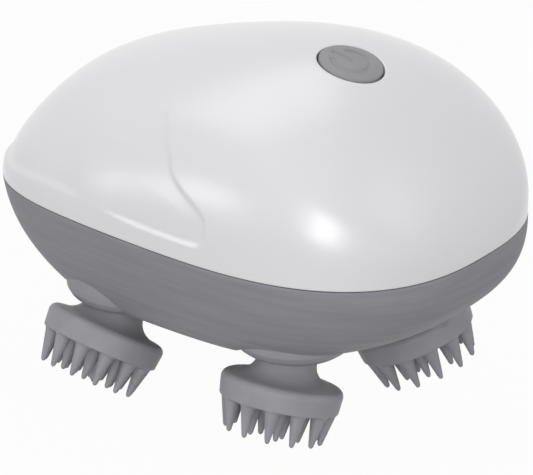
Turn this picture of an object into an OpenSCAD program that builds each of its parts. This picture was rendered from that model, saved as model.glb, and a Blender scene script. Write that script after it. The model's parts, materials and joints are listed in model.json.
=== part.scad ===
// Electric scalp massager: an egg shaped hand piece that stands on four turning heads.
// Millimetres. +X runs along the body to the end with the power button, +Z is up, and the
// origin lies on the table under the middle of the body.

/* [Body] */
// Length of the body
body_len = 120; // [110:1:130]
// Half width of the body's plan before its shape factors
body_half_w = 43.5; // [40:0.5:47]
// Height of the white shell above the seam
crown_h = 38; // [34:0.5:42]
// Depth of the grey shell below the seam
belly_depth = 24.5; // [23:0.5:25]
// Wall of both shells
wall = 2.2; // [1.8:0.1:2.6]
// Depth of the finger recess round the narrow end
recess_depth = 1; // [0:0.1:1.2]
// Height of the recess's lower ledge above the seam
ledge_z = 6; // [5:0.5:8]

/* [Power button] */
// Distance of the button from the middle of the body
button_x = 22.6; // [18:0.2:26]
// Radius of the button
button_r = 7.45; // [6:0.05:8.5]
// Gap between the button and its hole
button_gap = 0.4; // [0.2:0.05:0.5]
// How far the middle of the button stands out of the shell
button_proud = 0.35; // [0.2:0.05:1.2]
// Travel of the button
button_travel = 0.8; // [0.4:0.1:1]

/* [Massage heads] */
// Distance of the central gear, between the four heads, from the middle of the body
works_x = -1; // [-2:0.1:1]
// Distance of each head's shaft from the central gear, along the body
head_x = 22.9; // [22.6:0.1:24]
// Distance of each head's shaft from the central gear, across the body
head_y = 19.5; // [19:0.1:20.5]
// Lean of each head away from its upright shaft, in the order of HEADS
head_tilts = [30, 17.5, 30, 24.5]; // [15:0.5:30]
// Radius of a head's rim
rim_r = 14.1; // [12:0.1:14.4]
// Distance from the pivot to the top edge of the rim
rim_top = 12.4; // [12:0.1:14]
// Height of the rim wall
rim_h = 4.8; // [3:0.1:6]
// Radius of a head's neck
neck_r = 6.8; // [6:0.1:7.2]
// Length of a tine below the rim
tine_len = 7.8; // [5:0.1:8]
// Radius of a tine's rounded tip
tine_tip_r = 0.62; // [0.5:0.02:0.9]

/* [Gear train] */
// Teeth of the central gear
central_teeth = 44; // [40:2:46]
// Teeth of each head's gear
drive_teeth = 30; // [28:1:32]
// Teeth of the small pinion under the reduction gear
idler_teeth = 10; // [10:1:12]
// Teeth of the large reduction gear
reduction_teeth = 50; // [46:1:52]
// Teeth of the motor's pinion
motor_teeth = 10; // [10:1:12]
// Module of the motor's pinion and of the large reduction gear
fine_module = 0.4; // [0.38:0.01:0.42]

/* [Motor and battery] */
// Radius of the motor's can
motor_r = 12; // [10:0.1:12.2]
// Length of the motor's can
motor_len = 20; // [17:0.5:20]
// Radius of the battery cell
cell_r = 7; // [5:0.1:7.2]
// Length of the battery cell
cell_len = 50; // [44:0.5:50]

/* [Charging port] */
// Radius of the charging socket's bore
port_r = 1.75; // [1.25:0.05:2]
// Depth of the charging socket's bore
port_depth = 10; // [8:0.5:11]

/* [Hidden] */
HEADS = ["rear_right", "front_right", "rear_left", "front_left"];

half_len = body_len / 2;
gap = 0.1;
fine = 64;

// Plan and profile of the body. u runs from -1 at the narrow end to 1 at the button end.
plan_power = 0.38;
crown_power = 0.614;
belly_reach = 33.6;
belly_fall = -4.4;
belly_shift = 4.2;
function plan_w(u) = body_half_w * pow(max(0, 1 - u*u), plan_power)
    * (1 + 0.112*u + 0.216*u*u - 0.156*u*u*u);
function ridge_h(u) = crown_h * pow(max(0, 1 - u*u), crown_power)
    * (1 + 0.247*u + 0.085*u*u - 0.338*u*u*u);
function section_power(u) = 0.708 - 0.246*u;
function blend(t) = let (c = min(1, max(0, t))) c * c * (3 - 2*c);

// The finger recess: below its slanted rear edge, above its level ledge, fading to the ridge.
edge_x = 14.3;
edge_z = 8;
edge_slope = 0.95;
recess_soft = 2.2;
function recess_at(x, z) = recess_depth * blend((z - ledge_z) / recess_soft + 0.5)
    * blend((edge_x - edge_slope * (z - edge_z) - x) / recess_soft + 0.5)
    * (1 - blend((z - 18) / 14));

// A point of the white shell, v degrees round from one rim to the other, drawn in by k.
function crown_point(u, v, kx, ky, kz, cut) =
    let (y = plan_w(u) * cos(v), z = ridge_h(u) * pow(max(0, sin(v)), section_power(u)),
         d = cut ? recess_at(half_len * u, z) : 0, r = max(1, norm([half_len * u, y])))
    [half_len * u * kx * (1 - d/r), y * ky * (1 - d/r), z * kz];

// Closed solid between two poles: rings of points that run round the body.
function band_faces(rings, n) = concat(
    [for (i = [0 : rings - 2], j = [0 : n - 1]) let (k = (j + 1) % n, a = i*n, b = (i + 1)*n)
        each [[a + j, b + j, b + k], [a + j, b + k, a + k]]],
    [[for (j = [0 : n - 1]) j]], [[for (j = [n - 1 : -1 : 0]) (rings - 1)*n + j]]);

module crown(nu, nv, kx, ky, kz, cut) {
    lean = 3;
    pts = [for (i = [0 : nu]) let (u = sin(-90 + lean + (180 - 2*lean) * i / nu))
        each [for (j = [0 : nv]) crown_point(u, 180 * j / nv, kx, ky, kz, cut)]];
    n = nv + 1;
    tips = [[-half_len * kx, 0, 0], [half_len * kx, 0, 0]];
    skin = [for (i = [0 : nu - 1], j = [0 : nv - 1]) let (a = i*n + j, b = a + n)
        each [[a, b, b + 1], [a, b + 1, a + 1]]];
    m = len(pts);
    ends = [for (j = [0 : nv - 1]) each [[m, j, j + 1], [m + 1, nu*n + j + 1, nu*n + j]]];
    rim = concat([m], [for (i = [0 : nu]) i*n + nv], [m + 1], [for (i = [nu : -1 : 0]) i*n]);
    polyhedron(concat(pts, tips), concat(skin, ends, [rim]));
}

// The grey shell's level rings, each a smaller copy of the plan.
function belly_k(t, n, m) = pow(max(0, 1 - pow(t, n)), 1/m);
function belly_point(a, z, in) =
    let (u = sin(a), t = z / (belly_reach + belly_fall * u), s = cos(a) < 0 ? -1 : 1)
    [half_len * u * belly_k(t, 2.4, 1.63) * in[0] + belly_shift * t,
     s * plan_w(u) * belly_k(t, 1.15, 4) * in[1], -z * in[2]];
module belly(n, levels, depth, in) {
    pts = [for (i = [0 : levels]) let (z = depth * pow(i / levels, 0.8))
        each [for (j = [0 : n - 1]) belly_point(360 * (j + 0.5) / n, z, in)]];
    polyhedron(pts, band_faces(levels + 1, n));
}

// The button's frame: its origin on the ridge and its axis square to the shell.
button_u = button_x / half_len;
button_slope = atan((ridge_h(button_u - 0.02) - ridge_h(button_u + 0.02)) / (0.04 * half_len));
module at_button() {
    translate([button_x, 0, seam_z + ridge_h(button_u)]) rotate([0, button_slope, 0]) children();
}
module at_seam() { translate([0, 0, seam_z]) children(); }
module at_works() { translate([works_x, 0, seam_z]) children(); }

// Levels of the works, below (-) or above (+) the seam.
cover_z = -1;
plate = 2;
fine_gear_z = -4;
fine_gear_h = 2.4;
gear_z = -8.6;
gear_h = 4;
deck_z = -11.2;
pivot_z = -21.5;
boss_z = -19.6;
turret_z = -21.6;
turret_top = -20;
dome_z = -25.4;
disc_z = -23.9;
disc_h = 0.8;

// The tines, and the height of the seam that puts the lowest tip on the table.
draft = 0.4;
outer_tines = rim_r - draft - 2.1;
tine_turn = -3.7;
tine_lean = 0.35;
tine_root = rim_top + rim_h - 2.4;
tine_h = tine_len + 2.4 - tine_tip_r;
tip_ball = tine_tip_r * 1.03;
tip_axial = tine_root + tine_h * cos(tine_lean * outer_tines);
tip_radial = outer_tines - tine_h * sin(tine_lean * outer_tines);
function tip_depth(tilt) = tip_axial * cos(tilt) + tip_radial * cos(tine_turn) * sin(tilt);
seam_z = max([for (tilt = head_tilts) tip_depth(tilt)]) + tip_ball - pivot_z;

// Places of the shafts, posts and screws.
head_places = [[-head_x, -head_y], [head_x, -head_y], [-head_x, head_y], [head_x, head_y]];
head_phases = [-104, -90, 220, 22.5];
coarse_module = 2 * norm([head_x, head_y]) / (central_teeth + drive_teeth);
idler_x = coarse_module * (central_teeth + idler_teeth) / 2;
motor_x = idler_x - fine_module * (reduction_teeth + motor_teeth) / 2;
deck_posts = [[-6, -23], [6, -23], [-6, 23], [6, 23], [-37, 0], [37, 0]];
shell_posts = [[0, -29.2], [0, 29.2], [47, 0], [-42, -13], [-42, 13]];
board_posts = [[-12, -10], [-12, 10], [12, -10], [12, 10]];

// Sizes of shafts and screws.
shaft_r = 2;
pin_r = 1.5;
idler_pin_r = 1.25;
motor_shaft_r = 1;
bush_r = 3.6;
boss_r = 5.4;
post_r = 3.2;
screw_r = 1.1;
screw_head_r = 2;
small_screw_r = 0.9;
small_head_r = 1.7;
run = 0.05;

module rod(r, z0, z1) { translate([0, 0, z0]) cylinder(h = z1 - z0, r = r, $fn = fine); }
module ring(r0, r1, z0, z1) {
    difference() { rod(r1, z0, z1); rod(r0, z0 - 1, z1 + 1); }
}
module each_head() { for (p = head_places) translate(p) children(); }
module each_at(places) { for (p = places) translate(p) children(); }

// Spur gears with involute flanks.
function inv(a) = tan(a) - a * PI / 180;
function flank(r, rp, rb, teeth) = 180 / PI * (PI / (2 * teeth) * 0.9 + inv(20)
    - inv(acos(min(1, rb / r))));
function gear_points(teeth, m) =
    let (rp = m * teeth / 2, rb = rp * cos(20), rt = rp + 0.95 * m, rf = rp - 1.2 * m,
         rm = (rp + rt) / 2, rl = max(rb, rf + 0.2 * m))
    [for (i = [0 : teeth - 1]) let (c = 360 * i / teeth)
        each [for (s = [[rf, -1, rl], [rl, -1, rl], [rp, -1, rp], [rm, -1, rm], [rt, -1, rt],
                        [rt, 1, rt], [rm, 1, rm], [rp, 1, rp], [rl, 1, rl], [rf, 1, rl]])
            s[0] * [cos(c + s[1] * flank(s[2], rp, rb, teeth)),
                    sin(c + s[1] * flank(s[2], rp, rb, teeth))]]];
module gear(teeth, m, z0, h, bore, phase) {
    translate([0, 0, z0]) rotate([0, 0, phase]) linear_extrude(h) difference() {
        polygon(gear_points(teeth, m));
        circle(r = bore, $fn = fine);
    }
}
// Phase of a driven gear in mesh with one of the given phase, in the direction d.
function mesh(d, phase, teeth, driven) =
    d + 180 + 360 / driven * (0.5 - (phase - d) * teeth / 360);

// ---- shells ----
module upper_shell() color([0.93, 0.93, 0.95]) {
    difference() {
        at_seam() translate([0, 0, gap]) crown(44, 26, 1, 1, 1, true);
        difference() {
            at_seam() translate([0, 0, gap - 0.01])
                crown(30, 16, 1 - wall/half_len, 1 - wall/body_half_w, 1 - wall/crown_h, false);
            at_seam() each_at(shell_posts) rod(post_r, 1.2, crown_h);
            at_button() each_at(board_posts) rod(2.2, -9.9, 0);
        }
        at_seam() each_at(shell_posts) rod(screw_r + run, 0, 9);
        at_button() rod(button_r + button_gap, -8, 6);
        at_button() each_at(board_posts) rod(small_screw_r + run, -11, -4.5);
    }
}
module lower_shell() color([0.47, 0.47, 0.50]) {
    difference() {
        at_seam() translate([0, 0, -gap]) belly(56, 9, belly_depth - gap, [1, 1, 1]);
        difference() {
            at_seam() translate([0, 0, gap])
                belly(44, 7, belly_depth - wall,
                      [1 - wall/half_len, 1 - wall/body_half_w, 1]);
            at_seam() each_at(shell_posts) rod(post_r, -belly_depth - 2, -0.8);
        }
        at_works() each_head() rod(dome_r + 0.3, -belly_depth - 6, -15.3);
        at_seam() each_at(shell_posts) rod(screw_r + run, -belly_depth - 6, 3);
        at_seam() each_at(shell_posts) rod(screw_head_r + 0.3, -belly_depth - 6, -10);
        at_seam() translate([-half_len - 2, 0, -8]) rotate([0, 90, 0]) rod(3.7, 0, 10);
    }
}
function seam_outline(in) = [for (a = [2.5 : 5 : 360]) let (p = belly_point(a, 0, [1, 1, 1]))
    [p[0] * (1 - in/half_len), p[1] * (1 - in/body_half_w)]];
module seam_seal() color([0.25, 0.25, 0.27]) {
    at_seam() translate([0, 0, -1.2]) linear_extrude(2.4) difference() {
        polygon(seam_outline(wall + 0.6));
        polygon(seam_outline(wall + 1.8));
    }
}
// The cover inside the grey shell, with a domed turret round each head's shaft.
dome_r = 14.4;
lip_r = 10.8;
dome_out = [[dome_r, -15.6], [dome_r - 0.1, -21], [dome_r - 0.3, -22.2], [dome_r - 0.7, -23.2],
            [dome_r - 1.2, -24], [dome_r - 1.8, -24.65], [dome_r - 2.5, dome_z + 0.3],
            [dome_r - 3.1, dome_z]];
module turret_cover() color([0.58, 0.58, 0.61]) {
    bore = dome_r - 1.6;
    floor_z = disc_z - 0.2;
    at_works() difference() {
        union() {
            translate([0, 0, turret_z]) linear_extrude(turret_top - turret_z) {
                translate([-40.5, -9]) square([81, 18]);
                translate([-30, -18]) square([60, 36]);
                translate([-10, -25.6]) square([20, 51.2]);
            }
            each_head() rotate_extrude($fn = fine)
                polygon(concat([[0, -15.6]], dome_out, [[0, dome_z]]));
            each_at(deck_posts) rod(2.6, turret_z + 1, deck_z - run);
        }
        each_head() rotate_extrude($fn = fine) polygon([[0, -15], [bore, -15], [bore, -21.9],
            [bore - 0.5, -22.8], [11.3, floor_z], [lip_r, floor_z], [lip_r, dome_z - 1],
            [0, dome_z - 1]]);
        each_at(deck_posts) rod(small_screw_r + run, -17, deck_z + 1);
    }
}

// ---- power button ----
module power_button() color([0.60, 0.60, 0.61]) {
    edge = 0.5;
    top_r = 44;
    sag = button_r * button_r / (2 * top_r);
    rim_z = button_proud - sag;
    at_button() difference() {
        rotate_extrude($fn = fine) polygon(concat(
            [for (i = [0 : 8]) let (r = (button_r - edge) * i / 8)
                [r, button_proud - r * r / (2 * top_r)]],
            [for (a = [75 : -15 : 0]) [button_r - edge + edge * cos(a),
                                       rim_z - edge + edge * sin(a)]],
            [[button_r, -3.4], [button_r + 1.1, -3.4], [button_r + 1.1, -4.2],
             [2.2, -4.2], [2.2, stem_z], [0, stem_z]]));
        power_mark(button_proud);
    }
}
// The power mark is cut into the button: an open ring with a bar that points to the narrow end.
module power_mark(z) {
    mark_r = 4.4;
    line = 0.45;
    translate([0, 0, z - 0.45]) linear_extrude(2) difference() {
        circle(r = mark_r + line, $fn = fine);
        circle(r = mark_r - line, $fn = fine);
        polygon([[0, 0], [-8, 5.6], [-8, -5.6]]);
    }
    translate([-mark_r - 0.9, -line, z - 0.45]) cube([mark_r + 0.9, 2 * line, 2]);
}
stem_z = -5.2;
switch_top = stem_z - button_travel - 0.4;
module button_seal() color([0.3, 0.3, 0.32]) at_button() ring(button_r + 1.5, button_r + 3, -5.4, -4.1);
module switch_body() color([0.1, 0.1, 0.1]) at_button() difference() {
    translate([-3, -3, board_z + 1.6]) cube([6, 6, switch_top - board_z - 1.6]);
    rod(1.8, -8.6, 0);
}
module switch_plunger() color([0.85, 0.85, 0.8]) at_button() rod(1.7, -7.2, stem_z);

// ---- control board ----
board_z = -11.5;
module control_board() color([0.05, 0.35, 0.2]) at_button() difference() {
    translate([-15, -13, board_z]) cube([30, 26, 1.6]);
    each_at(board_posts) rod(small_screw_r + run, board_z - 1, 0);
}
module board_chips() color([0.08, 0.08, 0.09]) at_button() {
    translate([-8, -4, board_z - 1.2]) cube([6, 5, 1.2]);
    translate([3, -7, board_z - 1]) cube([4, 4, 1]);
    translate([4, 3, board_z - 1]) cube([3, 3, 1]);
    translate([9, 4, board_z + 1.6]) rod(1.5, 0, 3);
    translate([-10, 4, board_z + 1.6]) cube([3, 4, 1.5]);
}
module board_screws() color([0.7, 0.7, 0.72]) at_button() each_at(board_posts) {
    rod(small_screw_r, board_z - 0.1, -5.2);
    rod(small_head_r, board_z - 1.3, board_z);
}

// ---- battery ----
cell_x = -24;
cell_z = 10.6;
module along_cell(r, half, x) {
    at_seam() translate([x, 0, cell_z]) rotate([90, 0, 0]) rod(r, -half, half);
}
module battery_cell() color([0.2, 0.35, 0.6]) {
    along_cell(cell_r, cell_len/2, cell_x);
    at_seam() translate([cell_x, 0, cell_z]) rotate([90, 0, 0]) rod(2.5, cell_len/2, cell_len/2 + 1);
}
module battery_cradle() color([0.85, 0.85, 0.87]) difference() {
    union() {
        at_seam() translate([cell_x - 8.4, -20, cover_z + plate]) cube([16.8, 40, 8.6]);
        for (s = [-1, 1]) at_seam() translate([cell_x - 6, s * 27.4 - 0.8, cover_z + plate])
            cube([12, 1.6, 9]);
        at_seam() translate([cell_x - 6, -27, cover_z + plate]) cube([12, 54, 1.4]);
    }
    along_cell(cell_r + gap, 26.3, cell_x);
    along_cell(cell_r + 2, 8, cell_x);
}

// ---- motor ----
can_z = cover_z + plate;
can_top = can_z + motor_len;
module at_motor() { at_works() translate([motor_x, 0, 0]) children(); }
module motor_can() color([0.75, 0.76, 0.78]) at_motor() difference() {
    union() { rod(motor_r, can_z, can_top); rod(3, cover_z + 0.4, can_z + 0.5); }
    rod(motor_r - 0.8, can_z + 1, can_top + 1);
    rod(motor_shaft_r + run, cover_z - 1, can_z + 2);
    for (s = [-1, 1]) translate([0, s * 8.5, 0]) rod(small_screw_r + run, can_z - 1, can_z + 2);
}
module motor_magnets() color([0.25, 0.25, 0.27]) at_motor() difference() {
    ring(9.2, motor_r - 0.9, can_z + 2.4, can_top - 3);
    translate([-20, -2, 0]) cube([40, 4, 40]);
}
module motor_endcap() color([0.9, 0.9, 0.85]) at_motor() difference() {
    union() { rod(motor_r - 0.85, can_top - 2, can_top - 0.1); rod(3.4, can_top - 1, can_top + 1.4); }
    rod(motor_shaft_r + run, can_top - 3, can_top + 0.6);
}
module motor_rotor() color([0.6, 0.55, 0.5]) at_motor() {
    rod(motor_shaft_r, fine_gear_z - 0.2, can_top + 0.4);
    difference() {
        rod(8.8, can_z + 4, can_top - 5);
        for (a = [0, 120, 240]) rotate([0, 0, a]) translate([7, 0, can_z + 3])
            cylinder(h = 20, r = 1.6, $fn = 24);
    }
    rod(2.6, can_top - 5.2, can_top - 3);
}
module motor_pinion() color([0.8, 0.65, 0.3]) at_motor()
    gear(motor_teeth, fine_module, fine_gear_z, fine_gear_h, motor_shaft_r,
         mesh(180, reduction_phase, reduction_teeth, motor_teeth));
module motor_screws() color([0.7, 0.7, 0.72]) at_motor() for (s = [-1, 1]) translate([0, s*8.5, 0]) {
    rod(small_screw_r, cover_z - 0.2, can_z + 2);
    rod(small_head_r, cover_z - 1.1, cover_z);
}

// ---- gear train ----
central_phase = 0;
idler_phase = mesh(0, central_phase, central_teeth, idler_teeth);
reduction_phase = 0;
module reduction_gear() color([0.93, 0.92, 0.86]) at_works() translate([idler_x, 0, 0]) {
    gear(reduction_teeth, fine_module, fine_gear_z, fine_gear_h, idler_pin_r + run, reduction_phase);
    gear(idler_teeth, coarse_module, gear_z, fine_gear_z - gear_z, idler_pin_r + run, idler_phase);
}
module reduction_pin() color([0.75, 0.75, 0.78]) at_works() translate([idler_x, 0, 0])
    rod(idler_pin_r, deck_z + 0.2, cover_z + plate - 0.2);
module central_gear() color([0.93, 0.92, 0.86]) at_works() difference() {
    gear(central_teeth, coarse_module, gear_z, gear_h, pin_r + run, central_phase);
    for (a = [0 : 60 : 300]) rotate([0, 0, a + 30]) translate([10, 0, 0]) rod(3, gear_z - 1, 0);
}
module central_pin() color([0.75, 0.75, 0.78]) at_works()
    rod(pin_r, deck_z + 0.2, cover_z + plate - 0.2);
module drive_gear(i) color([0.93, 0.92, 0.86]) {
    p = head_places[i];
    at_works() translate(p) gear(drive_teeth, coarse_module, gear_z, gear_h, shaft_r,
        mesh(atan2(p[1], p[0]), central_phase, central_teeth, drive_teeth));
}
module drive_shaft(i) color([0.75, 0.75, 0.78]) at_works() translate(head_places[i])
    rod(shaft_r, -22.8, cover_z + plate - 0.2);

// ---- gearbox ----
module works_outline() {
    translate([-40.5, -8]) square([81, 16]);
    translate([-10, -25.7]) square([20, 51.4]);
    for (p = head_places) translate(p) circle(r = 8, $fn = fine);
    for (p = head_places) rotate(atan2(p[1], p[0])) translate([0, -6]) square([30, 12]);
}
module shaft_holes(r_head, z0, z1) {
    each_head() rod(r_head, z0, z1);
    rod(pin_r, z0, z1);
    translate([idler_x, 0, 0]) rod(idler_pin_r, z0, z1);
    each_at(deck_posts) rod(small_screw_r + run, z0, z1);
}
module gear_deck() color([0.82, 0.82, 0.84]) at_works() difference() {
    union() {
        translate([0, 0, deck_z]) linear_extrude(plate) works_outline();
        each_head() rod(boss_r, boss_z, deck_z + 1);
        each_at(deck_posts) rod(2.6, deck_z + 1, cover_z - run);
    }
    shaft_holes(bush_r, deck_z - 20, 5);
}
module gearbox_cover() color([0.82, 0.82, 0.84]) at_works() difference() {
    translate([0, 0, cover_z]) linear_extrude(plate) works_outline();
    shaft_holes(shaft_r + run, -5, 5);
    translate([motor_x, 0, 0]) rod(3 + run, -5, 5);
    for (s = [-1, 1]) translate([motor_x, s * 8.5, 0]) rod(small_screw_r + run, -5, 5);
}
module gearbox_screws() color([0.7, 0.7, 0.72]) at_works() each_at(deck_posts) {
    rod(small_screw_r, -16.5, cover_z + plate + 0.2);
    rod(small_head_r, cover_z + plate, cover_z + plate + 1.2);
}
module shaft_bushes() color([0.72, 0.55, 0.3]) at_works() each_head()
    ring(shaft_r + run, bush_r, -18.6, deck_z + plate);
module shaft_seals() color([0.15, 0.15, 0.16]) at_works() each_head()
    ring(shaft_r + run, bush_r, boss_z, -18.7);

// ---- fasteners and port ----
module housing_screws() color([0.7, 0.7, 0.72]) at_seam() each_at(shell_posts) {
    rod(screw_r, -10.2, 8.6);
    rod(screw_head_r, -12, -10.05);
}
port_z = -8;
port_x = -58;
module charging_socket() color([0.12, 0.12, 0.13]) at_seam() translate([port_x, 0, port_z])
    rotate([0, 90, 0]) difference() {
        union() { rod(3.6, 0, 13); rod(4.8, 6, 7.6); }
        rod(port_r, -1, port_depth);
    }

// ---- wires ----
// A wire is a run of straight rods with a ball at each bend.
module wire(points, r) {
    for (i = [0 : len(points) - 2]) let (d = points[i + 1] - points[i]) {
        translate(points[i]) rotate([0, acos(d[2] / norm(d)), atan2(d[1], d[0])])
            cylinder(h = norm(d), r = r, $fn = 16);
        if (i > 0) translate(points[i]) sphere(r = r * 1.02, $fn = 16);
    }
}
wire_r = 0.6;
module wire_harness() color([0.7, 0.1, 0.1]) at_seam() {
    wire([[-24, 29.6, 12], [-12, 28, 16], [2, 20, 20], [8, 15, 24.4]], wire_r);
    wire([[-24, -29.6, 12], [-12, -28, 16], [2, -20, 20], [8, -15, 24.4]], wire_r);
    brush_x = works_x + motor_x - 7;
    wire([[brush_x, 6, can_top + 0.6], [0, 10, can_top + 2.2], [3, 13, 24.8]], wire_r);
    wire([[brush_x, -6, can_top + 0.6], [0, -10, can_top + 2.2], [3, -13, 24.8]], wire_r);
}

// ---- massage heads ----
// A head's own axis runs from its pivot down through the rim. It leans towards the phase.
module at_head(i) {
    at_works() translate([head_places[i][0], head_places[i][1], pivot_z])
        rotate([0, 0, head_phases[i]]) rotate([0, -head_tilts[i], 0]) children();
}
stub_r = 3.4;
stub_len = 12.4;
module tilt_hub(i) color([0.35, 0.35, 0.37]) {
    difference() {
        union() {
            at_works() translate(head_places[i]) {
                rod(4.2, disc_z + 0.4, boss_z - 0.3);
                rod(lip_r + 0.4, disc_z, disc_z + disc_h);
            }
            at_head(i) rod(stub_r, -stub_len, -1.6);
        }
        at_works() translate(head_places[i]) rod(shaft_r, -22.8, -15);
    }
}
// The neck from its flat top down to the dish. Its heights are counted from the rim's top edge.
neck_top = 2.5;
neck_flare = concat([[neck_r + 0.5, neck_top]],
    [for (f = [[0.5, 12], [0.25, 8], [0.02, 6.4], [0, 5.4], [0.15, 4.4], [0.5, 3.5], [1.1, 2.65],
               [1.9, 1.95], [2.9, 1.4], [4.1, 1.05], [5.3, 0.9]]) [neck_r + f[0], f[1] - rim_top]]);
module tine(r, a) {
    base_r = 2.3;
    rotate([0, 0, a]) translate([r, 0, -tine_root]) rotate([0, 180 + tine_lean * r, 0]) {
        cylinder(h = tine_h, r1 = base_r, r2 = tine_tip_r, $fn = 32);
        translate([0, 0, tine_h]) sphere(r = tip_ball, $fn = 32);
    }
}
module massage_head(i) color([0.60, 0.60, 0.63]) {
    edge = 0.95;
    lip = rim_top + 0.05;
    well_z = rim_top + rim_h - 1.8;
    difference() {
        at_head(i) union() {
            rotate_extrude($fn = fine) polygon(concat(
                [[stub_r + gap, neck_top]], neck_flare,
                [for (a = [90 : -15 : 0]) [rim_r - edge + edge * cos(a),
                                           -lip + edge * sin(a) * 0.95 - 0.05]],
                [[rim_r - draft, -rim_top - rim_h], [rim_r - draft - 2.3, -rim_top - rim_h],
                 [rim_r - draft - 2.5, -well_z], [0, -well_z], [0, -stub_len - 0.2],
                 [stub_r + gap, -stub_len - 0.2]]));
            for (a = [0 : 30 : 330]) tine(outer_tines, a + tine_turn);
            for (a = [0 : 60 : 300]) tine(6.7, a + tine_turn + 42.5);
            for (a = [0 : 120 : 240]) tine(3.1, a + tine_turn + 82.5);
        }
        at_works() translate(head_places[i]) rod(20, disc_z - 0.1, disc_z + 20);
    }
}

upper_shell();
lower_shell();
seam_seal();
turret_cover();
power_button();
button_seal();
switch_body();
switch_plunger();
control_board();
board_chips();
board_screws();
battery_cell();
battery_cradle();
motor_can();
motor_endcap();
motor_magnets();
motor_rotor();
motor_pinion();
motor_screws();
reduction_gear();
reduction_pin();
central_gear();
central_pin();
gear_deck();
gearbox_cover();
gearbox_screws();
shaft_bushes();
shaft_seals();
housing_screws();
charging_socket();
wire_harness();
for (i = [0 : 3]) {
    drive_gear(i);
    drive_shaft(i);
    tilt_hub(i);
    massage_head(i);
}
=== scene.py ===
"""Electric scalp massager: the finished pieces and their materials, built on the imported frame.

Lengths are in millimetres until a piece is finished, which turns them into metres. X runs along
the body to the end with the power button, and Z is up.
"""

import json
import math

import bmesh
import bpy
import numpy as np
from mathutils import Matrix, Quaternion, Vector


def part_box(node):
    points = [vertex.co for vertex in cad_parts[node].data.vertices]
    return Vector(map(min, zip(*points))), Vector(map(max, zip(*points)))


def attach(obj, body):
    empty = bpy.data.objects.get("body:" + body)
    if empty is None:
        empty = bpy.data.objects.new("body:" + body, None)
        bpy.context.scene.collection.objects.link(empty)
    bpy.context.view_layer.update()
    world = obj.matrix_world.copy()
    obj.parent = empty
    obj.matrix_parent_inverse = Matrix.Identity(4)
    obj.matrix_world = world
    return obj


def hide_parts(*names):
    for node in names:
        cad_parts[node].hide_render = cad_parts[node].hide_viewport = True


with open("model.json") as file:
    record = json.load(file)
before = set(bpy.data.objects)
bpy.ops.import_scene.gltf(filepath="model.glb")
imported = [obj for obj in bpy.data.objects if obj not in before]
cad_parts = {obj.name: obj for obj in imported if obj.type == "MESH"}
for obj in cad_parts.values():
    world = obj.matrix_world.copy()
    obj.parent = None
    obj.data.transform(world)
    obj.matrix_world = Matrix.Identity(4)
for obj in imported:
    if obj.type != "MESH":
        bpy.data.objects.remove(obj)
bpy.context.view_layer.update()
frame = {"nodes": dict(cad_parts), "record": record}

MM = 0.001
HEADS = ["rear_right", "front_right", "rear_left", "front_left"]

# ---- sizes ----
# The seam's height is read from the frame. The others are as in the solids.
seam_low, seam_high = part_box("seam_seal")
SEAM = (seam_low.z + seam_high.z) / 2 / MM
HALF_LEN = 60
HALF_W = 43.5
CROWN_H = 38
BELLY_DEPTH = 24.5
WALL = 2.2
HALF_GAP = 0.1
BUTTON_X = 22.6
BUTTON_R = 7.45
BUTTON_GAP = 0.4
BUTTON_PROUD = 0.35
WORKS_X = -1
HEAD_X = 22.9
HEAD_Y = 19.5
PIVOT = -21.5
PLACES = [(WORKS_X + x, y) for y in (-HEAD_Y, HEAD_Y) for x in (-HEAD_X, HEAD_X)]
PHASES = [-104, -90, 220, 22.5]
TILTS = [30, 17.5, 30, 24.5]
# The shells' lips at the seam are rounded, in steps of the given angles in radians.
SEAM_ROUND = 0.3
EDGE_TURNS = (0.52, 1.05, 1.57)


# ---- making meshes ----
def skin(rows, ring=True):
    """A closed skin through rows of points. Each row runs once round. The last row joins the
    first, or both ends close to a point."""
    count, steps = len(rows), len(rows[0])
    bm = bmesh.new()
    line = [bm.verts.new((1, 0, k)) for k in range(count)]
    pairs = list(zip(line, line[1:])) + ([(line[-1], line[0])] if ring else [])
    edges = [bm.edges.new(pair) for pair in pairs]
    bmesh.ops.spin(bm, geom=line + edges, axis=(0, 0, 1), cent=(0, 0, 0), angle=2 * math.pi,
                   steps=steps, use_merge=True)
    for v in bm.verts:
        turn = round(math.atan2(v.co.y, v.co.x) / (2 * math.pi) * steps) % steps
        v.co = Vector(rows[round(v.co.z)][turn])
    bmesh.ops.remove_doubles(bm, verts=bm.verts, dist=1e-5)
    bmesh.ops.recalc_face_normals(bm, faces=bm.faces)
    return bm


def full_turn(steps):
    return np.arange(steps) * 2 * math.pi / steps


def turned(profile, steps, ring=False):
    """A turned solid about Z from a profile of (radius, height) points."""
    angles = full_turn(steps)
    rows = [np.stack([r * np.cos(angles), r * np.sin(angles), np.full(steps, z)], 1)
            for r, z in profile]
    return skin(rows, ring)


def rod(radius, low, high, steps):
    return turned([(0, low), (radius, low), (radius, high), (0, high)], steps)


def rounded(points, radii):
    """The polyline with each inner corner turned into an arc of the given radius."""
    steps = 5
    out = [points[0]]
    for before, corner, after, radius in zip(points, points[1:], points[2:], radii):
        a, b, c = Vector(before), Vector(corner), Vector(after)
        one, two = (a - b).normalized(), (c - b).normalized()
        half = one.angle(two) / 2
        reach = min(radius / math.tan(half), (a - b).length * 0.49, (c - b).length * 0.49)
        start, end = b + one * reach, b + two * reach
        for i in range(steps + 1):
            t = i / steps
            p = start * (1 - t) ** 2 + b * 2 * t * (1 - t) + end * t ** 2
            out.append((p.x, p.y))
    out.append(points[-1])
    return out


def joined(parts):
    """One mesh out of several."""
    whole = bmesh.new()
    for part in parts:
        mesh = bpy.data.meshes.new("part")
        part.to_mesh(mesh)
        part.free()
        whole.from_mesh(mesh)
        bpy.data.meshes.remove(mesh)
    return whole


def placed(bm, matrix):
    bmesh.ops.transform(bm, matrix=matrix, verts=bm.verts)
    return bm


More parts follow.
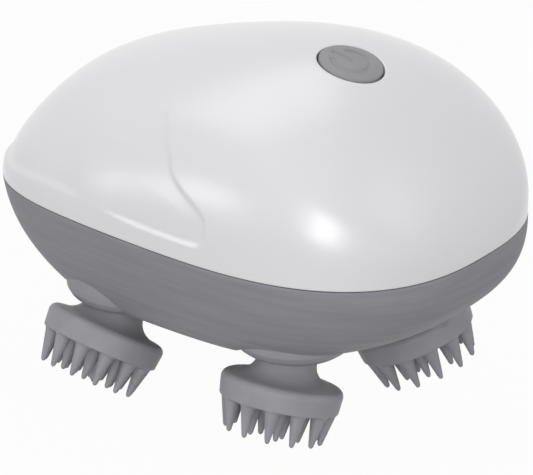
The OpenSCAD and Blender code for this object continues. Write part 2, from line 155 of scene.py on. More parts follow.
def lifted(bm, x=0, y=0, z=0):
    return placed(bm, Matrix.Translation((x, y, z)))


def as_object(bm, name):
    mesh = bpy.data.meshes.new(name)
    bm.to_mesh(mesh)
    bm.free()
    obj = bpy.data.objects.new(name, mesh)
    bpy.context.scene.collection.objects.link(obj)
    return obj


def applied(obj):
    """The object's mesh with its modifiers worked in, and the object gone."""
    bpy.context.view_layer.update()
    whole = obj.evaluated_get(bpy.context.evaluated_depsgraph_get())
    bm = bmesh.new()
    bm.from_mesh(whole.to_mesh())
    whole.to_mesh_clear()
    bpy.data.objects.remove(obj)
    return bm


def cut(bm, cutters):
    """bm without the cutters' volume."""
    obj, tool = as_object(bm, "work"), as_object(joined(cutters), "tool")
    cutting = obj.modifiers.new("cut", "BOOLEAN")
    cutting.operation = "DIFFERENCE"
    cutting.solver = "EXACT"
    cutting.use_self = True
    cutting.object = tool
    out = applied(obj)
    bpy.data.objects.remove(tool)
    return out


SHARP_EDGE = 38


def finished(bm, name, body, material, replaces):
    """A piece in metres at the seam's height, riding on its body. Edges that turn by more than
    SHARP_EDGE degrees stay sharp."""
    bmesh.ops.transform(bm, matrix=Matrix.Scale(MM, 4) @ Matrix.Translation((0, 0, SEAM)),
                        verts=bm.verts)
    for face in bm.faces:
        face.smooth = True
    obj = as_object(bm, name)
    obj.data.set_sharp_from_angle(angle=math.radians(SHARP_EDGE))
    obj.data.materials.append(material)
    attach(obj, body)
    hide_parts(*replaces)
    return obj


# ---- the body's shape ----
def blend(t):
    c = np.clip(t, 0, 1)
    return c * c * (3 - 2 * c)


def plan_w(u):
    return (HALF_W * np.maximum(0, 1 - u * u) ** 0.38
            * (1 + 0.112 * u + 0.216 * u ** 2 - 0.156 * u ** 3))


def ridge_h(u):
    return (CROWN_H * np.maximum(0, 1 - u * u) ** 0.614
            * (1 + 0.247 * u + 0.085 * u ** 2 - 0.338 * u ** 3))


def crown_height(x, y):
    u = np.clip(x / HALF_LEN, -1, 1)
    w = np.maximum(plan_w(u), 1e-6)
    return ridge_h(u) * np.maximum(0, 1 - (y / w) ** 2) ** ((0.708 - 0.246 * u) / 2)


BUTTON_U = BUTTON_X / HALF_LEN
BUTTON_SLOPE = math.atan((ridge_h(BUTTON_U - 0.02) - ridge_h(BUTTON_U + 0.02))
                         / (0.04 * HALF_LEN))
AT_BUTTON = (Matrix.Translation((BUTTON_X, 0, ridge_h(BUTTON_U)))
             @ Matrix.Rotation(BUTTON_SLOPE, 4, "Y"))


def normals_of(grid, rim):
    """Unit normals of a grid of rows that run round. Those of the row named rim point outwards."""
    along = np.gradient(grid, axis=0)
    across = np.roll(grid, -1, 1) - np.roll(grid, 1, 1)
    n = np.cross(across, along)
    n /= np.maximum(np.linalg.norm(n, axis=2, keepdims=True), 1e-12)
    return n * np.sign(np.sum(n[rim] * grid[rim] * [1, 1, 0]))


def levelled(normals):
    """The normals laid level, at unit length."""
    level = normals * [1, 1, 0]
    return level / np.linalg.norm(level, axis=1, keepdims=True)


# The finger recess on the narrow half. Its rear edge climbs from a rounded corner, swings over to
# the narrow end and fades out. Its ledge runs round the narrow end, a little above the seam, is
# shallowest midway, and has a fine groove along its foot by the corner.
RECESS_EDGE = 1.3
GROOVE_DEPTH, GROOVE_HALF_W = 0.14, 0.45


def recess_rear(z):
    return 13.9 - 12.3 * blend((z - 10.5) / 11) - np.maximum(z - 21.5, 0)


def recess_ledge(x):
    return 4.5 + 1.7 * np.exp(-((x + 29) / 13) ** 2) - 0.1 * np.maximum(-44 - x, 0)


def recess(x, z):
    lean = (recess_rear(z + 0.1) - recess_rear(z - 0.1)) / 0.2
    from_rear = (recess_rear(z) - x) / np.hypot(1, lean)
    from_ledge = z - recess_ledge(x)
    corner = 3.2
    inside = np.minimum(np.minimum(from_rear, from_ledge), corner - np.hypot(
        np.maximum(corner - from_rear, 0), np.maximum(corner - from_ledge, 0)))
    by_the_ledge = ((1 - 0.6 * blend((x + 34) / 12) - 0.4 * np.exp(-((x + 20) / 8) ** 2))
                    * (1 - blend((z - 13) / 15)))
    by_the_edge = 0.5 * (1 - blend(from_rear / 20)) * (1 - blend((z - 20) / 12))
    groove = (GROOVE_DEPTH * np.exp(-((inside - GROOVE_HALF_W) / GROOVE_HALF_W) ** 2)
              * np.exp(-((x - 8) / 16) ** 2) * (1 - blend((z - 9) / 8)))
    return blend(inside / RECESS_EDGE) * np.maximum(by_the_ledge, by_the_edge) + groove


def upper_shell_rows():
    """Rows from the button's hole out over the shell to the seam, and back under it."""
    columns, outer_rows = 640, 104
    hole_r, hole_round = BUTTON_R + BUTTON_GAP, 0.3
    floor = HALF_GAP + SEAM_ROUND
    angles = full_turn(columns)
    c, s = np.cos(angles), np.sin(angles)
    frame_x = np.array(AT_BUTTON.col[0][:3])
    frame_z = np.array(AT_BUTTON.col[2][:3])
    centre = np.array(AT_BUTTON.col[3][:3])

    def round_button(r, down):
        rim = centre + np.outer(r * c, frame_x) + np.outer(r * s, [0, 1, 0])
        lift = np.zeros(columns)
        for _ in range(12):
            p = rim + np.outer(lift, frame_z)
            lift += crown_height(p[:, 0], p[:, 1]) - p[:, 2]
        return rim + np.outer(lift - down, frame_z)

    start = round_button(hole_r + hole_round, 0)
    reach_low, reach_high = np.zeros(columns), np.full(columns, 140.0)
    for _ in range(50):
        reach = (reach_low + reach_high) / 2
        x, y = start[:, 0] + reach * c, start[:, 1] + reach * s
        inside = (np.abs(x) < HALF_LEN) & (crown_height(x, y) > floor)
        reach_low = np.where(inside, reach, reach_low)
        reach_high = np.where(inside, reach_high, reach)
    fine = 1 - (1 - np.linspace(0, 1, 900)) ** 3
    x = start[:, 0] + np.outer(fine, reach_low * c)
    y = start[:, 1] + np.outer(fine, reach_low * s)
    ray = np.stack([x, y, crown_height(x, y)], 2)
    length = np.concatenate([np.zeros((1, columns)),
                             np.cumsum(np.linalg.norm(np.diff(ray, axis=0), axis=2), 0)])
    outer = np.zeros((outer_rows, columns, 3))
    for k in range(columns):
        at = length[-1, k] * (1 - np.linspace(1, 0, outer_rows) ** 1.3)
        for axis in range(3):
            outer[:, k, axis] = np.interp(at, length[:, k], ray[:, k, axis])
    normal = normals_of(outer, -1)
    inner = outer - WALL * normal
    dent = recess(outer[..., 0], outer[..., 2])
    outer = outer - dent[..., None] * normal
    outward = levelled(normal[-1])
    rim = outer[-1]
    down = np.array([0, 0, -1.0])
    turn_in = [rim - outward * SEAM_ROUND * (1 - math.cos(a)) + down * SEAM_ROUND * math.sin(a)
               for a in EDGE_TURNS]
    sill = rim - outward * WALL + down * SEAM_ROUND
    under = inner[:-4:5][::-1]
    wall_top = [round_button(hole_r + hole_round * (1 - math.sin(a)),
                             hole_round * (1 - math.cos(a))) for a in reversed(EDGE_TURNS)]
    hole_foot = round_button(hole_r, WALL)
    return list(outer) + turn_in + [sill] + list(under) + [hole_foot] + wall_top


def tube(x, y, inner_r, outer_r, low, high):
    return lifted(turned([(inner_r, low), (outer_r, low), (outer_r, high), (inner_r, high)],
                         40, ring=True), x, y)


HOLE_R = 14.43
SHELL_POSTS = [(0, -29.2), (0, 29.2), (47, 0), (-42, -13), (-42, 13)]
SHELL_POST_R = 3.2
SCREW_BORE_R = 1.15
SCREW_RECESS_R = 2.3
PORT_R = 3.7
PORT_DROP = 8


def make_upper_shell(material):
    parts = [skin(upper_shell_rows())]
    for x, y in SHELL_POSTS:
        far_x, far_y = (v + math.copysign(SHELL_POST_R, v) for v in (x, y))
        top = crown_height(far_x, far_y) - WALL * 0.6
        parts.append(tube(x, y, SCREW_BORE_R, SHELL_POST_R, 1.2, float(top)))
    return finished(joined(parts), "upper_shell_moulding", "housing", material,
                    ["upper_shell"])


def belly_row(z, angles, inset=0.0):
    """One level row of the grey shell, z below the seam, drawn in by inset."""
    u = np.sin(angles)
    side = np.sign(np.cos(angles))
    t = z / (33.6 - 4.4 * u)
    kx = np.maximum(0, 1 - t ** 2.4) ** (1 / 1.63) * (1 - inset / HALF_LEN)
    ky = np.maximum(0, 1 - t ** 1.15) ** (1 / 4) * (1 - inset / HALF_W)
    return np.stack([HALF_LEN * u * kx + 4.2 * t, side * plan_w(u) * ky,
                     np.full(len(angles), -z)], 1)


def make_lower_shell(material):
    columns = 384
    angles = (np.arange(columns) + 0.5) * 2 * math.pi / columns
    foot_round = 1.0
    levels = (HALF_GAP + SEAM_ROUND
              + (BELLY_DEPTH - foot_round - 0.4) * np.linspace(0, 1, 46) ** 0.9)
    grid = np.array([belly_row(z, angles) for z in levels])
    normal = normals_of(grid, 0)
    outward = levelled(normal[0])
    up = np.array([0, 0, 1.0])
    turn_in = [grid[0] - outward * SEAM_ROUND * (1 - math.cos(a)) + up * SEAM_ROUND * math.sin(a)
               for a in reversed(EDGE_TURNS)]
    turn_under = [belly_row(BELLY_DEPTH - foot_round * (1 - math.sin(a)), angles,
                            foot_round * (1 - math.cos(a)))
                  for a in (0.3, 0.6, 0.9, 1.2, math.pi / 2)]
    sole = [turn_under[-1] * [k, k, 1] for k in (0.9, 0.75, 0.55, 0.35, 0.15, 0)]
    inner = grid - normal * WALL
    inner[..., 2] = np.maximum(inner[..., 2], -(BELLY_DEPTH - WALL))
    inner = inner[::3]
    inner[0] = turn_in[0] - outward * (WALL - SEAM_ROUND)
    floor = [inner[-1] * [k, k, 0] - up * (BELLY_DEPTH - WALL) for k in (0.96, 0.7, 0.4, 0)]
    rows = (sole[::-1] + turn_under[::-1] + list(grid[::-1]) + turn_in[::-1]
            + list(inner) + floor)
    shell = skin(rows, ring=False)
    cutters = [lifted(rod(HOLE_R, -30, -15.3, 128), x, y) for x, y in PLACES]
    cutters += [lifted(rod(SCREW_RECESS_R, -36, -10, 48), x, y) for x, y in SHELL_POSTS]
    cutters.append(placed(rod(PORT_R, 0, 10, 64),
                          Matrix.Translation((-HALF_LEN - 2, 0, -PORT_DROP))
                          @ Matrix.Rotation(math.pi / 2, 4, "Y")))
    shell = cut(shell, cutters)
    posts = [tube(x, y, SCREW_RECESS_R, SHELL_POST_R, -20, -10) for x, y in SHELL_POSTS]
    posts += [tube(x, y, SCREW_BORE_R, SHELL_POST_R, -10.02, -0.8) for x, y in SHELL_POSTS]
    return finished(joined([shell] + posts), "lower_shell_moulding", "housing",
                    material, ["lower_shell"])


# ---- power button ----
FLANGE_W, FLANGE_TOP, FLANGE_FOOT = 1.1, -3.4, -4.2
STEM_R, STEM_FOOT = 2.2, -5.2


def power_mark(x, y):
    """Distance out of the power mark's strokes: an open ring and a bar to the narrow end."""
    half_line, ring_r, half_gap = 0.55, 4.4, math.radians(35)
    r, a = np.hypot(x, y), np.abs(np.arctan2(y, -x))
    ring_out = np.abs(r - ring_r) - half_line
    gap_out = r * np.sin(np.clip(half_gap - a, -1.5, 1.5))
    bar_out = np.maximum(np.abs(y) - half_line, np.maximum(x, -ring_r - 0.9 - x))
    return np.minimum(np.maximum(ring_out, gap_out), bar_out)


def make_power_button(material):
    columns, edge, top_r, depth = 400, 0.5, 44, 0.3
    angles = full_turn(columns)
    sag = (BUTTON_R - edge) ** 2 / (2 * top_r)
    profile = [(r, BUTTON_PROUD - r * r / (2 * top_r))
               for r in np.linspace(0, BUTTON_R - edge, 52)]
    profile += [(BUTTON_R - edge + edge * math.sin(a),
                 BUTTON_PROUD - sag - edge * (1 - math.cos(a)))
                for a in np.linspace(0.2, 1.57, 7)]
    profile += [(BUTTON_R, FLANGE_TOP), (BUTTON_R + FLANGE_W, FLANGE_TOP),
                (BUTTON_R + FLANGE_W, FLANGE_FOOT), (STEM_R, FLANGE_FOOT), (STEM_R, STEM_FOOT),
                (0, STEM_FOOT)]
    rows = []
    for r, z in profile:
        row = np.stack([r * np.cos(angles), r * np.sin(angles), np.full(columns, z)], 1)
        if z > -1:
            row[:, 2] -= depth * blend(0.5 - power_mark(row[:, 0], row[:, 1]) / 0.5)
        rows.append(row)
    return finished(placed(skin(rows, ring=False), AT_BUTTON), "power_button_cap", "button",
                    material, ["power_button"])


# ---- turrets ----
DOME_R = 14.4
DECK_Z, DECK_H = -20.8, 1.6
DECK_SLABS = [(81, 18), (60, 36), (20, 51.2)]
DECK_POSTS = [(-6, -23), (6, -23), (-6, 23), (6, 23), (-37, 0), (37, 0)]


def make_turret_cover(material):
    dome = rounded([(12.8, -15.6), (DOME_R, -15.6), (14.3, -21), (14.1, -22.6), (13.2, -24.1),
                    (11.9, -25.1), (11.3, -25.4), (10.8, -25.4), (10.8, -24.1), (11.3, -24.1),
                    (12.3, -22.8), (12.8, -21.9)], [0.2, 2, 1.4, 1.6, 1, 0.6, 0.3, 0.2, 0.2, 0.2])
    domes = [lifted(turned(dome, 144, ring=True), x, y) for x, y in PLACES]
    slabs = []
    for wide, deep in DECK_SLABS:
        slab = bmesh.new()
        bmesh.ops.create_cube(slab, size=1)
        bmesh.ops.scale(slab, vec=(wide, deep, DECK_H), verts=slab.verts)
        slabs.append(lifted(slab, x=WORKS_X, z=DECK_Z))
    bores = [lifted(rod(13.2, -25, -15, 96), x, y) for x, y in PLACES]
    plate = cut(joined(slabs), bores)
    posts = [tube(WORKS_X + x, y, 0.95, 2.6, -20.6, -11.25) for x, y in DECK_POSTS]
    return finished(joined(domes + [plate] + posts), "turret_cover_moulding", "housing",
                    material, ["turret_cover"])


# ---- massage heads ----
RIM_R, RIM_TOP, RIM_H, DRAFT = 14.1, 12.4, 4.8, 0.4
TINE_LEN, TIP_R = 7.8, 0.62
NECK_R = 6.8
TINE_BASE_R, TINE_SUNK = 2.3, 2.4
CUT_OFF_Z = -24


def tine(r, turn):
    """A tine at radius r that leans outwards, its foot sunk in the dish."""
    root = RIM_TOP + RIM_H - TINE_SUNK
    height = TINE_LEN + TINE_SUNK - TIP_R
    cone = [(0, 0), (TINE_BASE_R, 0), (TIP_R * 1.02, height)]
    cap = [(TIP_R * 1.03 * math.cos(a), height + TIP_R * 1.03 * math.sin(a))
           for a in np.linspace(0.1, 1.57, 5)]
    lean = math.radians(0.35 * r)
    return placed(turned(cone + cap, 40), Matrix.Rotation(math.radians(turn), 4, "Z")
                  @ Matrix.Translation((r, 0, -root)) @ Matrix.Rotation(math.pi + lean, 4, "Y"))


def head_blank():
    """A silicone head about its own axis, its rim and tines blended as one moulding."""
    edge, lip, well = 1.7, RIM_TOP - 0.85, RIM_TOP + RIM_H - 1.8
    neck = [(NECK_R + out, up - RIM_TOP) for out, up in
            ((0.5, RIM_TOP + 2.5), (0.5, 12), (0.25, 8), (0.02, 6.4), (0, 5.4), (0.15, 4.4),
             (0.5, 3.5), (1.1, 2.65), (1.9, 1.95), (2.9, 1.4), (4.1, 1.05), (5.3, 0.9))]
    bead = [(RIM_R - edge * (1 - math.cos(a)), -lip - edge * (1 - math.sin(a)))
            for a in np.linspace(1.4, 0, 10)]
    wall_r = RIM_R - DRAFT
    foot = [(wall_r, -RIM_TOP - RIM_H), (wall_r - 2.3, -RIM_TOP - RIM_H), (wall_r - 2.5, -well),
            (0, -well)]
    socket = [(0, -12.6), (3.5, -12.6), (3.5, 2.5)]
    dish = turned(socket + neck + bead + foot, 144)
    tines = [tine(wall_r - 2.1, a - 3.7) for a in range(0, 360, 30)]
    tines += [tine(6.7, a + 38.8) for a in range(0, 360, 60)]
    tines += [tine(3.1, a + 78.8) for a in range(0, 360, 120)]
    obj = as_object(joined([dish] + tines), "blank")
    merging = obj.modifiers.new("merge", "REMESH")
    merging.mode = "VOXEL"
    merging.voxel_size = 0.28
    blank = applied(obj)
    for _ in range(3):
        bmesh.ops.smooth_vert(blank, verts=blank.verts, factor=0.5, use_axis_x=True,
                              use_axis_y=True, use_axis_z=True)
    return blank


def make_massage_heads(material):
    blank = head_blank()
    for name, (x, y), phase, tilt in zip(HEADS, PLACES, PHASES, TILTS):
        head = blank.copy()
        placed(head, Matrix.Translation((x, y, PIVOT))
               @ Matrix.Rotation(math.radians(phase), 4, "Z")
               @ Matrix.Rotation(math.radians(-tilt), 4, "Y"))
        out = bmesh.ops.bisect_plane(head, geom=head.verts[:] + head.edges[:] + head.faces[:],
                                     plane_co=(x, y, CUT_OFF_Z), plane_no=(0, 0, 1),
                                     clear_outer=True)
        rim = [e for e in out["geom_cut"] if isinstance(e, bmesh.types.BMEdge)]
        bmesh.ops.holes_fill(head, edges=rim)
        finished(head, "massage_head_moulding_" + name, "spindle_" + name,
                 material, ["massage_head_" + name])
    blank.free()


# ---- materials ----
def linear(code):
    """A linear colour from an sRGB hex code."""
    parts = [int(code[i:i + 2], 16) / 255 for i in (1, 3, 5)]
    return [p / 12.92 if p <= 0.04045 else ((p + 0.055) / 1.055) ** 2.4 for p in parts] + [1]


def add_node(tree, kind, settings=None, links=None, **values):
    """A node with its settings, links and input values. A key is an input's name or number."""
    node = tree.nodes.new(kind)
    for key, value in (settings or {}).items():
        setattr(node, key, value)
    for key, value in values.items():
        node.inputs[key.replace("_", " ")].default_value = value
    for key, source in (links or {}).items():
        tree.links.new(source, node.inputs[key])
    return node


class Finish:
    """A material in the making: its shader, and patterns that are laid out on the object."""

    def __init__(self, name, **sockets):
        self.material = bpy.data.materials.new(name)
        self.material.use_nodes = True
        self.tree = self.material.node_tree
        self.shader = self.tree.nodes["Principled BSDF"]
        self.place = add_node(self.tree, "ShaderNodeTexCoord").outputs["Object"]
        for key, value in sockets.items():
            self.shader.inputs[key.replace("_", " ")].default_value = value

    def clumps(self, size, stretch=(1, 1, 1), detail=2.0):
        """Soft clumps of the given size in mm, drawn out where stretch is above 1."""
        drawn = add_node(self.tree, "ShaderNodeMapping", links={"Vector": self.place},
                         Scale=[1 / (size * MM * s) for s in stretch])
        return add_node(self.tree, "ShaderNodeTexNoise", links={"Vector": drawn.outputs[0]},
                        Scale=1.0, Detail=detail).outputs["Fac"]

    def bands(self, pitch, direction, wander=0.0):
        """Straight bands across one axis, pitch mm apart."""
        return add_node(self.tree, "ShaderNodeTexWave", {"bands_direction": direction},
                        {"Vector": self.place}, Scale=math.pi / 10 / (pitch * MM),
                        Distortion=wander, Detail=2.0).outputs["Fac"]

    def colour(self, pattern, dark, light, spread=(0.35, 0.65)):
        ramp = add_node(self.tree, "ShaderNodeValToRGB", links={"Fac": pattern})
        for stop, at, code in zip(ramp.color_ramp.elements, spread, (dark, light)):
            stop.position, stop.color = at, linear(code)
        self.tree.links.new(ramp.outputs["Color"], self.shader.inputs["Base Color"])

    def roughness(self, pattern, low, high):
        level = add_node(self.tree, "ShaderNodeMapRange", links={"Value": pattern},
                         From_Min=0.3, From_Max=0.7, To_Min=low, To_Max=high)
        self.tree.links.new(level.outputs["Result"], self.shader.inputs["Roughness"])

    def relief(self, pattern, depth):
        """A surface that rises and falls by depth, in mm."""
        raised = add_node(self.tree, "ShaderNodeBump", links={"Height": pattern}, Strength=1.0,
                          Distance=depth * MM)
        self.tree.links.new(raised.outputs["Normal"], self.shader.inputs["Normal"])


def lacquered_white_abs():
    """ABS from a polished mould under a clear lacquer: soft-edged highlights on a clean white,
    faintly uneven where the wall has shrunk and where hands have rubbed it."""
    look = Finish("lacquered_white_abs", IOR=1.52, Coat_Weight=1.0, Coat_IOR=1.6,
                  Coat_Roughness=0.3)
    look.colour(look.clumps(22), "#E1E1E4", "#E2E2E5")
    look.roughness(look.clumps(6), 0.28, 0.32)
    look.relief(look.clumps(7), 0.008)
    return look.material


def soft_touch_lacquer():
    """A matt soft-touch lacquer on ABS: a dull even grey with faint lighter and darker streaks
    along the body, which also rise and fall a little in the surface, and a fine dust-dry grain."""
    look = Finish("soft_touch_grey_lacquer", IOR=1.48, Sheen_Weight=0.06, Sheen_Roughness=0.5)
    streaks = look.clumps(1.5, (14, 14, 1), 3)
    look.colour(streaks, "#88888E", "#909096")
    look.roughness(look.clumps(0.5), 0.56, 0.66)
    look.relief(streaks, 0.03)
    return look.material


def spark_eroded_abs(name, dark, light, rough):
    """ABS from a spark-eroded mould: a satin face whose fine pits spread the highlights. The pits
    are drawn 0.4 mm wide, twice the real size, so that they show."""
    look = Finish(name, IOR=1.52)
    look.colour(look.clumps(9), dark, light)
    pits = look.clumps(0.4)
    look.roughness(pits, rough - 0.04, rough + 0.06)
    look.relief(pits, 0.008)
    return look.material


def grey_silicone():
    """Liquid silicone rubber: smooth and a little translucent, so the thin tines look lighter
    than the thick dish, with a dry bloom that dulls it in patches."""
    look = Finish("grey_silicone_rubber", IOR=1.41, Subsurface_Weight=0.35, Subsurface_Scale=0.002,
                  Subsurface_Radius=(1, 1, 1), Sheen_Weight=0.08, Sheen_Roughness=0.4)
    look.colour(look.clumps(5), "#9A9AA0", "#A0A0A6")
    look.roughness(look.clumps(2.5), 0.46, 0.58)
    look.relief(look.clumps(0.6), 0.006)
    return look.material


def rubber(name, dark, light):
    """Nitrile rubber: near black and matt, with a greyish dusting."""
    look = Finish(name, IOR=1.52)
    look.colour(look.clumps(1.2, (1, 1, 1), 4), dark, light)
    look.roughness(look.clumps(0.8), 0.66, 0.8)
    look.relief(look.clumps(0.3), 0.01)
    return look.material


def moulded_plastic(name, dark, light, rough, flow=6, see_into=0.0):
    """Engineering plastic as moulded: an even colour with soft flow marks flow mm wide, a fine
    grain, and some depth where the plastic lets light in."""
    look = Finish(name, IOR=1.5, Subsurface_Weight=see_into, Subsurface_Scale=0.001,
                  Subsurface_Radius=(1, 1, 1))
    look.colour(look.clumps(flow, (1, 1, 2), 1), dark, light)
    fine_grain = look.clumps(0.35)
    look.roughness(fine_grain, rough - 0.05, rough + 0.07)
    look.relief(fine_grain, 0.006)
    return look.material


def fibre_filled_nylon(name, dark, light):
    """Nylon with short glass fibres: they break the surface as pale hairs 2 mm long."""
    look = Finish(name, IOR=1.53)
    fibres = look.clumps(0.2, (10, 2, 2), 1)
    look.colour(fibres, dark, light, (0.45, 0.62))
    look.roughness(fibres, 0.44, 0.58)
    look.relief(fibres, 0.012)
    return look.material


def solder_mask():
    """Green lacquer over copper tracks: the tracks stand up a little and show paler, 0.8 mm
    apart."""
    look = Finish("green_solder_mask", IOR=1.5, Coat_Weight=0.4, Coat_Roughness=0.15)
    tracks = look.bands(1.6, "X", 6.0)
    look.colour(tracks, "#0E4A30", "#1E6B47", (0.42, 0.5))
    look.roughness(look.clumps(1.5), 0.28, 0.4)
    look.relief(tracks, 0.02)
    return look.material


def shrink_film():
    """Shrunk film round the cell: glossy, with long shallow wrinkles along it."""
    look = Finish("blue_shrink_film", IOR=1.53, Coat_Weight=0.3, Coat_Roughness=0.1)
    wrinkles = look.clumps(1.2, (1, 9, 1), 3)
    look.colour(wrinkles, "#275289", "#2F63A3")
    look.roughness(look.clumps(3), 0.2, 0.32)
    look.relief(wrinkles, 0.04)
    return look.material


def wire_insulation():
    """PVC drawn over wire: a shiny skin with a slow waviness along it."""
    look = Finish("red_pvc_insulation", IOR=1.53)
    look.colour(look.clumps(4), "#9A2323", "#A92929")
    look.roughness(look.clumps(1), 0.34, 0.46)
    look.relief(look.clumps(1.5), 0.02)
    return look.material


def worked_metal(name, dark, light, rough, mark, stretch=(1, 1, 1)):
    """Metal with the marks of its tool: fine lines along the axis that stretch draws them out on,
    which lengthen the highlights across them."""
    look = Finish(name, Metallic=1.0)
    marks = look.clumps(mark, stretch, 3)
    look.colour(marks, dark, light)
    look.roughness(marks, rough - 0.05, rough + 0.08)
    look.relief(marks, 0.002)
    return look.material


def stacked_laminations():
    """A pack of steel sheets 0.5 mm thick: their edges show as fine rings, tinted by varnish."""
    look = Finish("varnished_laminations", Metallic=1.0)
    sheets = look.bands(0.5, "Z")
    look.colour(sheets, "#7A6656", "#A98F7C", (0.1, 0.5))
    look.roughness(look.clumps(0.8), 0.36, 0.5)
    look.relief(sheets, 0.03)
    return look.material


def sintered(name, dark, light, metallic, rough, pore):
    """Pressed and sintered powder: a dry face full of pores."""
    look = Finish(name, Metallic=metallic)
    pores = look.clumps(pore, (1, 1, 1), 4)
    look.colour(pores, dark, light, (0.38, 0.55))
    look.roughness(pores, rough + 0.1, rough - 0.05)
    look.relief(pores, 0.02)
    return look.material


def make_materials():
    return {
        "shell_white": lacquered_white_abs(),
        "shell_grey": soft_touch_lacquer(),
        "turret_grey": spark_eroded_abs("moulded_grey_abs", "#929298", "#98989E", 0.52),
        "button_grey": spark_eroded_abs("satin_grey_abs", "#8E8E90", "#949496", 0.44),
        "head_silicone": grey_silicone(),
        "seal_rubber": rubber("black_nitrile_rubber", "#232325", "#303033"),
        # Moulded from black nylon, which keeps a soft shine
        "black_plastic": moulded_plastic("black_nylon", "#131315", "#1A1A1D", 0.46),
        # Undyed nylon yellows a little and lets some light in
        "ivory_plastic": moulded_plastic("ivory_nylon", "#DAD6C6", "#E2DFD1", 0.45, see_into=0.1),
        # Acetal looks waxy, because light goes some way into it
        "gear_plastic": moulded_plastic("natural_acetal", "#E7E4D8", "#EFEDE3", 0.34, 4, 0.2),
        "hub_plastic": moulded_plastic("dark_grey_acetal", "#47474B", "#505054", 0.42, 4),
        "frame_plastic": fibre_filled_nylon("glass_filled_nylon", "#C6C6CA", "#D6D6DA"),
        "board_green": solder_mask(),
        "cell_wrap": shrink_film(),
        "wire_cover": wire_insulation(),
        # Zinc plating has a faint bluish cloudiness and no clear direction
        "zinc_steel": worked_metal("zinc_plated_steel", "#BCC0C6", "#C9CACC", 0.34, 0.6),
        # The can is drawn upwards, so its lines run up it
        "motor_steel": worked_metal("drawn_steel", "#B8BABF", "#C6C8CC", 0.3, 0.15, (1, 1, 60)),
        # A cut gear carries the hob's marks along its teeth
        "brass": worked_metal("cut_brass", "#C7A357", "#D6B56B", 0.28, 0.12, (1, 1, 12)),
        # Grinding goes round a pin, so its lines lie level
        "ground_steel": worked_metal("ground_steel", "#C2C3C7", "#CFD0D3", 0.2, 0.1, (30, 30, 1)),
        "rotor_steel": stacked_laminations(),
        "bronze": sintered("sintered_bronze", "#8E6A3C", "#B48C54", 1.0, 0.42, 0.25),
        "ferrite": sintered("sintered_ferrite", "#2B2B2F", "#404045", 0.0, 0.7, 0.35),
    }


# ---- stage ----
# The backdrop's white, which the camera and reflections see, and the light from all round.
SEEN_WHITE = 0.97
ROOM_LIGHT = 0.54
FLOOR_GREY = "#A8A8A8"


def seen_share(tree):
    """1 for rays that come from the camera, from a reflection or through glass, 0 for others."""
    path = add_node(tree, "ShaderNodeLightPath")
    share = path.outputs["Is Camera Ray"]
    for other in ("Is Glossy Ray", "Is Transmission Ray"):
        share = add_node(tree, "ShaderNodeMath", {"operation": "MAXIMUM"},
                         {0: share, 1: path.outputs[other]}).outputs[0]
    return share


def make_stage():
    floor = bmesh.new()
    bmesh.ops.create_grid(floor, x_segments=1, y_segments=1, size=3)
    obj = as_object(floor, "floor")
    paper = bpy.data.materials.new("matt_backdrop_paper")
    paper.use_nodes = True
    tree = paper.node_tree
    tree.nodes.remove(tree.nodes["Principled BSDF"])
    matt = add_node(tree, "ShaderNodeBsdfDiffuse", Color=linear(FLOOR_GREY))
    glow = add_node(tree, "ShaderNodeEmission", Color=(1, 1, 1, 1), Strength=1.0)
    share = add_node(tree, "ShaderNodeMapRange", links={"Value": seen_share(tree)},
                     To_Max=SEEN_WHITE)
    mix = add_node(tree, "ShaderNodeMixShader", links={0: share.outputs["Result"],
                                                       1: matt.outputs[0], 2: glow.outputs[0]})
    tree.links.new(mix.outputs[0], tree.nodes["Material Output"].inputs["Surface"])
    obj.data.materials.append(paper)
    world = bpy.data.worlds.new("studio")
    bpy.context.scene.world = world
    world.use_nodes = True
    tree = world.node_tree
    sky = tree.nodes["Background"]
    strength = add_node(tree, "ShaderNodeMapRange", links={"Value": seen_share(tree)},
                        To_Min=ROOM_LIGHT, To_Max=1.0)
    tree.links.new(strength.outputs["Result"], sky.inputs["Strength"])
    sky.inputs["Color"].default_value = (1, 1, 1, 1)


# Soft boxes: name, bearing from the camera, height angle and roll in degrees, width and height in
# metres, and watts. They stand LAMP_DIST from the object and face it.
LAMP_DIST = 1.2
LAMPS = [
    ("top_back_box", -156, 62, 0, 1.25, 0.75, 3.0),
    ("front_strip", -1, 15, -24, 0.42, 0.85, 5.6),
    ("left_box", -68, 8, 0, 0.5, 0.36, 1.5),
    ("right_box", 85, 34, 0, 0.6, 0.5, 0.6),
]


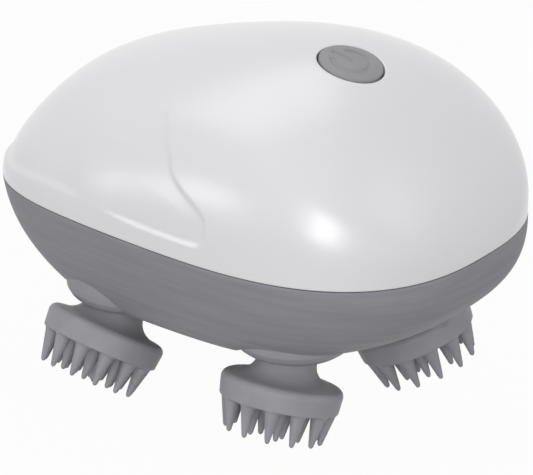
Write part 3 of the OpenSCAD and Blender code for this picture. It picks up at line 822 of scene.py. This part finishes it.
def make_lamps():
    middle = Vector((0, 0, 0.05))
    for name, bearing, rise, roll, wide, high, power in LAMPS:
        lamp = bpy.data.lights.new(name, "AREA")
        lamp.shape = "RECTANGLE"
        lamp.size, lamp.size_y, lamp.energy = wide, high, power
        obj = bpy.data.objects.new(name, lamp)
        bpy.context.scene.collection.objects.link(obj)
        turn, lift = math.radians(CAMERA_AZ - 90 + bearing), math.radians(rise)
        way = Vector((math.cos(turn) * math.cos(lift), math.sin(turn) * math.cos(lift),
                      math.sin(lift)))
        aim = (-way).to_track_quat("-Z", "Y") @ Quaternion((0, 0, 1), math.radians(roll))
        obj.location = middle + way * LAMP_DIST
        obj.rotation_euler = aim.to_euler()


# ---- camera ----
IMAGE_W = 533
CAMERA_AZ, CAMERA_EL, CAMERA_ROLL = 34.19, 24.05, -1.37
CAMERA_DIST = 1584.65
PIXELS_PER_MM = 4.388
OFFSET_X, OFFSET_Y = -0.341, 10.68


def make_camera():
    az, el, roll = (math.radians(a) for a in (CAMERA_AZ, CAMERA_EL, CAMERA_ROLL))
    right = Vector((math.cos(az), math.sin(az), 0))
    back = Vector((math.sin(az) * math.cos(el), -math.cos(az) * math.cos(el), math.sin(el)))
    up = back.cross(right)
    right, up = (right * math.cos(roll) - up * math.sin(roll),
                 right * math.sin(roll) + up * math.cos(roll))
    at = Vector((0, 0, SEAM)) + back * CAMERA_DIST - right * OFFSET_X - up * OFFSET_Y
    data = bpy.data.cameras.new("camera")
    data.sensor_width = 36
    data.lens = PIXELS_PER_MM * CAMERA_DIST / IMAGE_W * data.sensor_width
    data.clip_start, data.clip_end = 0.05, 20
    obj = bpy.data.objects.new("camera", data)
    bpy.context.scene.collection.objects.link(obj)
    turn = Matrix((right, up, back)).transposed().to_4x4()
    obj.matrix_world = Matrix.Translation(at * MM) @ turn
    bpy.context.scene.camera = obj


# ---- the whole ----
make_camera()
looks = make_materials()
slots = {s["node"]: s["material_slot"] for s in frame["record"]["subparts"]}
for node, obj in frame["nodes"].items():
    obj.data.materials.clear()
    obj.data.materials.append(looks[slots[node]])
make_upper_shell(looks["shell_white"])
make_lower_shell(looks["shell_grey"])
make_power_button(looks["button_grey"])
make_turret_cover(looks["turret_grey"])
make_massage_heads(looks["head_silicone"])
make_stage()
make_lamps()
bpy.context.scene.view_settings.view_transform = "Standard"
